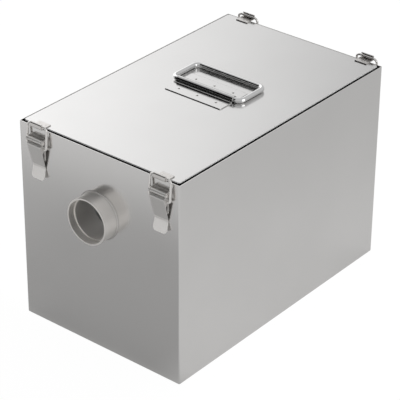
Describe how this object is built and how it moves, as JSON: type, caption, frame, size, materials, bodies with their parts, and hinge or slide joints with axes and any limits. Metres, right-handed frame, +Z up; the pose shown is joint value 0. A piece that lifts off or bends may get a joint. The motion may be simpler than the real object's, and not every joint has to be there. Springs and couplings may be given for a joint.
{
  "type": "grease trap",
  "caption": "Rectangular stainless steel grease trap with pipe stubs at the ends, a latched drop-in lid with a folding ring handle, inner baffles and a strainer basket.",
  "frame": {"origin": "middle of the tank's floor, on the surface it stands on", "axes": "+Z up, Y along the tank from the inlet end (-Y) to the outlet end (+Y), X across"},
  "size_m": [0.25, 0.443, 0.2829],
  "materials": {
    "tank_sheet": "satin rolled stainless sheet",
    "lid_sheet": "satin rolled stainless sheet",
    "pipe_steel": "smooth stainless tube",
    "basket_steel": "satin stainless sheet",
    "polished_steel": "polished stainless steel",
    "latch_steel": "pressed stainless steel",
    "latch_wire": "polished stainless wire",
    "rubber_seal": "matt black rubber"
  },
  "bodies": {
    "trap": {"lid_gasket": "rubber_seal", "lid": "lid_sheet", "handle_strap": "polished_steel", "inlet_stub": "pipe_steel", "outlet_stub": "pipe_steel", "inlet_sleeve": "pipe_steel", "outlet_tee": "pipe_steel", "strainer_basket": "basket_steel", "basket_grip": "basket_steel", "tank_body": "tank_sheet", "rim_ledge": "tank_sheet", "front_baffle": "tank_sheet", "rear_baffle": "tank_sheet", "basket_rail_left": "tank_sheet", "basket_rail_right": "tank_sheet", "front_left_keeper": "latch_steel", "front_left_latch_base": "latch_steel", "front_left_latch_pin": "latch_wire", "front_right_keeper": "latch_steel", "front_right_latch_base": "latch_steel", "front_right_latch_pin": "latch_wire", "back_left_keeper": "latch_steel", "back_left_latch_base": "latch_steel", "back_left_latch_pin": "latch_wire", "back_right_keeper": "latch_steel", "back_right_latch_base": "latch_steel", "back_right_latch_pin": "latch_wire"},
    "handle_ring": {"handle_ring": "polished_steel"},
    "front_left_lever": {"front_left_lever": "latch_steel"},
    "front_left_bail": {"front_left_bail": "latch_wire"},
    "front_right_lever": {"front_right_lever": "latch_steel"},
    "front_right_bail": {"front_right_bail": "latch_wire"},
    "back_left_lever": {"back_left_lever": "latch_steel"},
    "back_left_bail": {"back_left_bail": "latch_wire"},
    "back_right_lever": {"back_right_lever": "latch_steel"},
    "back_right_bail": {"back_right_bail": "latch_wire"}
  },
  "joints": [
    {"name": "handle_fold", "type": "hinge", "parent": "trap", "child": "handle_ring", "pos_m": [0, 0, 0.27855], "axis": [1, 0, 0], "range_deg": [0, 180]},
    {"name": "front_left_lever_turn", "type": "hinge", "parent": "trap", "child": "front_left_lever", "pos_m": [-0.093, -0.2065, 0.2595], "axis": [-1, 0, 0], "range_deg": [0, 140]},
    {"name": "front_left_bail_turn", "type": "hinge", "parent": "front_left_lever", "child": "front_left_bail", "pos_m": [-0.093, -0.2046, 0.25], "axis": [-1, 0, 0], "range_deg": [-94, 0]},
    {"name": "front_right_lever_turn", "type": "hinge", "parent": "trap", "child": "front_right_lever", "pos_m": [0.099, -0.2065, 0.2595], "axis": [-1, 0, 0], "range_deg": [0, 140]},
    {"name": "front_right_bail_turn", "type": "hinge", "parent": "front_right_lever", "child": "front_right_bail", "pos_m": [0.099, -0.2046, 0.25], "axis": [-1, 0, 0], "range_deg": [-94, 0]},
    {"name": "back_left_lever_turn", "type": "hinge", "parent": "trap", "child": "back_left_lever", "pos_m": [-0.093, 0.2065, 0.2595], "axis": [1, 0, 0], "range_deg": [0, 140]},
    {"name": "back_left_bail_turn", "type": "hinge", "parent": "back_left_lever", "child": "back_left_bail", "pos_m": [-0.093, 0.2046, 0.25], "axis": [1, 0, 0], "range_deg": [-94, 0]},
    {"name": "back_right_lever_turn", "type": "hinge", "parent": "trap", "child": "back_right_lever", "pos_m": [0.099, 0.2065, 0.2595], "axis": [1, 0, 0], "range_deg": [0, 140]},
    {"name": "back_right_bail_turn", "type": "hinge", "parent": "back_right_lever", "child": "back_right_bail", "pos_m": [0.099, 0.2046, 0.25], "axis": [1, 0, 0], "range_deg": [-94, 0]}
  ],
  "couplings": [
    {"joint": "front_left_bail_turn", "follows": "front_left_lever_turn", "ratio": -0.667},
    {"joint": "front_right_bail_turn", "follows": "front_right_lever_turn", "ratio": -0.667},
    {"joint": "back_left_bail_turn", "follows": "back_left_lever_turn", "ratio": -0.667},
    {"joint": "back_right_bail_turn", "follows": "back_right_lever_turn", "ratio": -0.667}
  ]
}
